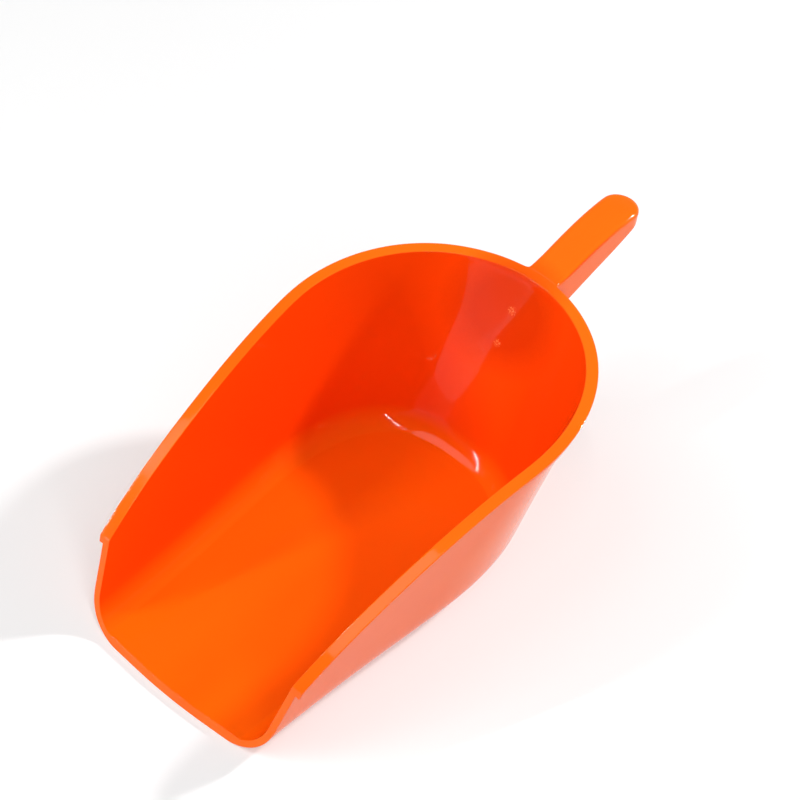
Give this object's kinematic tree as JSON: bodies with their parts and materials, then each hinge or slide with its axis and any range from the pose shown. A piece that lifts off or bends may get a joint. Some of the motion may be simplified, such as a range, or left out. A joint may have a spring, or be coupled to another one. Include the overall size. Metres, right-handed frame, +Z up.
{
  "type": "feed scoop",
  "caption": "Orange moulded plastic feed scoop: flat-bottomed open bowl with raked mouth, flanged rim sweeping up to the rear, and a short hollow-backed handle.",
  "frame": {"origin": "under the middle of the whole scoop, on the surface it stands on", "axes": "+Y from the mouth to the handle, +X to the right as seen from the mouth, +Z up"},
  "size_m": [0.1504, 0.3088, 0.1023],
  "materials": {
    "orange_plastic": "glossy, slightly translucent"
  },
  "bodies": {
    "root": {"mouth_lip": "orange_plastic", "floor_plate": "orange_plastic", "left_side_wall": "orange_plastic", "right_side_wall": "orange_plastic", "rear_wall": "orange_plastic", "rim_left": "orange_plastic", "rim_right": "orange_plastic", "rim_rear": "orange_plastic", "handle_top": "orange_plastic", "handle_left_web": "orange_plastic", "handle_right_web": "orange_plastic", "handle_gusset": "orange_plastic"}
  },
  "joints": []
}
